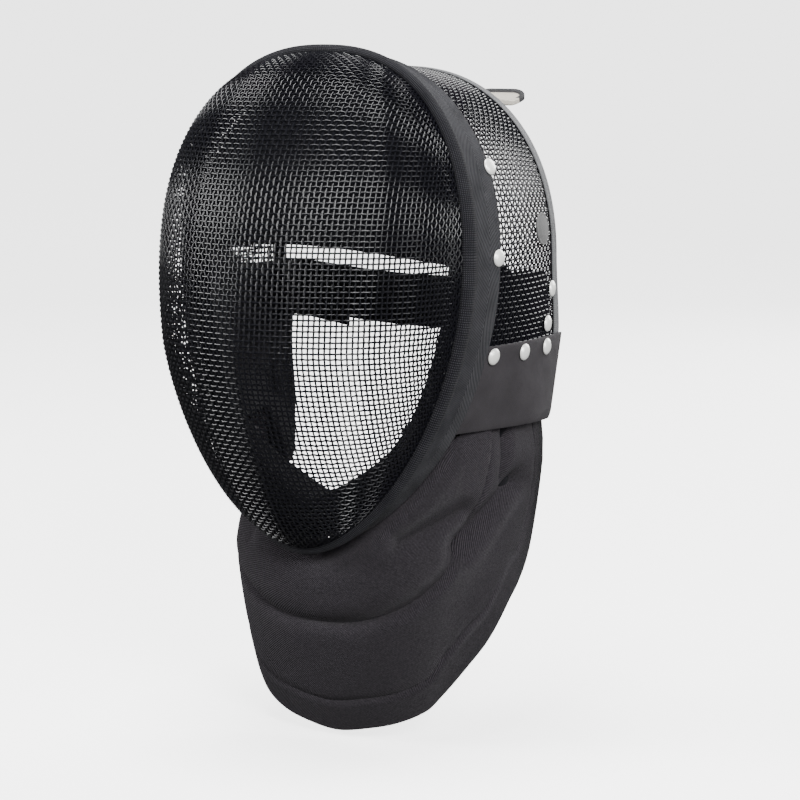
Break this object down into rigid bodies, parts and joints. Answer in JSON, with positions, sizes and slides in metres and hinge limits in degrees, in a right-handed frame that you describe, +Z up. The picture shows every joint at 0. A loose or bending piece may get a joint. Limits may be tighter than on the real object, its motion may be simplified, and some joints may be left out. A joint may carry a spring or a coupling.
{
  "type": "fencing mask",
  "caption": "Fencing mask of woven steel wire with a creased front, a tape trim, a hood, inner padding, a back strap, a spring tongue and a padded bib.",
  "frame": {"origin": "the inside of the crown pad, where the top of the wearer's head rests", "axes": "+X to the wearer's left, -Y out of the face, +Z up; the mask's mid-plane is X = 0"},
  "size_m": [0.2102, 0.3242, 0.4095],
  "materials": {
    "wire": "black paint, semi-gloss",
    "rivet": "bright nickel plate",
    "tape": "woven herringbone tape, matte",
    "grey_tape": "woven tape, matte",
    "twill": "quilted twill, matte",
    "padding": "brushed cloth over foam, matte",
    "web": "woven elastic web, matte",
    "tongue_cloth": "light cloth over spring steel, matte"
  },
  "bodies": {
    "root": {"front_mesh": "wire", "back_mesh": "wire", "rim_trim": "tape", "edge_binding": "grey_tape", "bib": "twill", "crown_pad": "padding", "chin_pad": "padding", "back_strap_left": "web", "back_strap_right": "web", "tongue": "tongue_cloth", "tongue_edge": "grey_tape", "bib_tab_left": "twill", "cheek_pad_left": "padding", "side_disc_left": "grey_tape", "rivet_left_1": "rivet", "rivet_left_2": "rivet", "rivet_left_3": "rivet", "rivet_left_4": "rivet", "rivet_left_5": "rivet", "rivet_left_6": "rivet", "rivet_left_7": "rivet", "bib_tab_right": "twill", "cheek_pad_right": "padding", "side_disc_right": "grey_tape", "rivet_right_1": "rivet", "rivet_right_2": "rivet", "rivet_right_3": "rivet", "rivet_right_4": "rivet", "rivet_right_5": "rivet", "rivet_right_6": "rivet", "rivet_right_7": "rivet"}
  },
  "joints": []
}
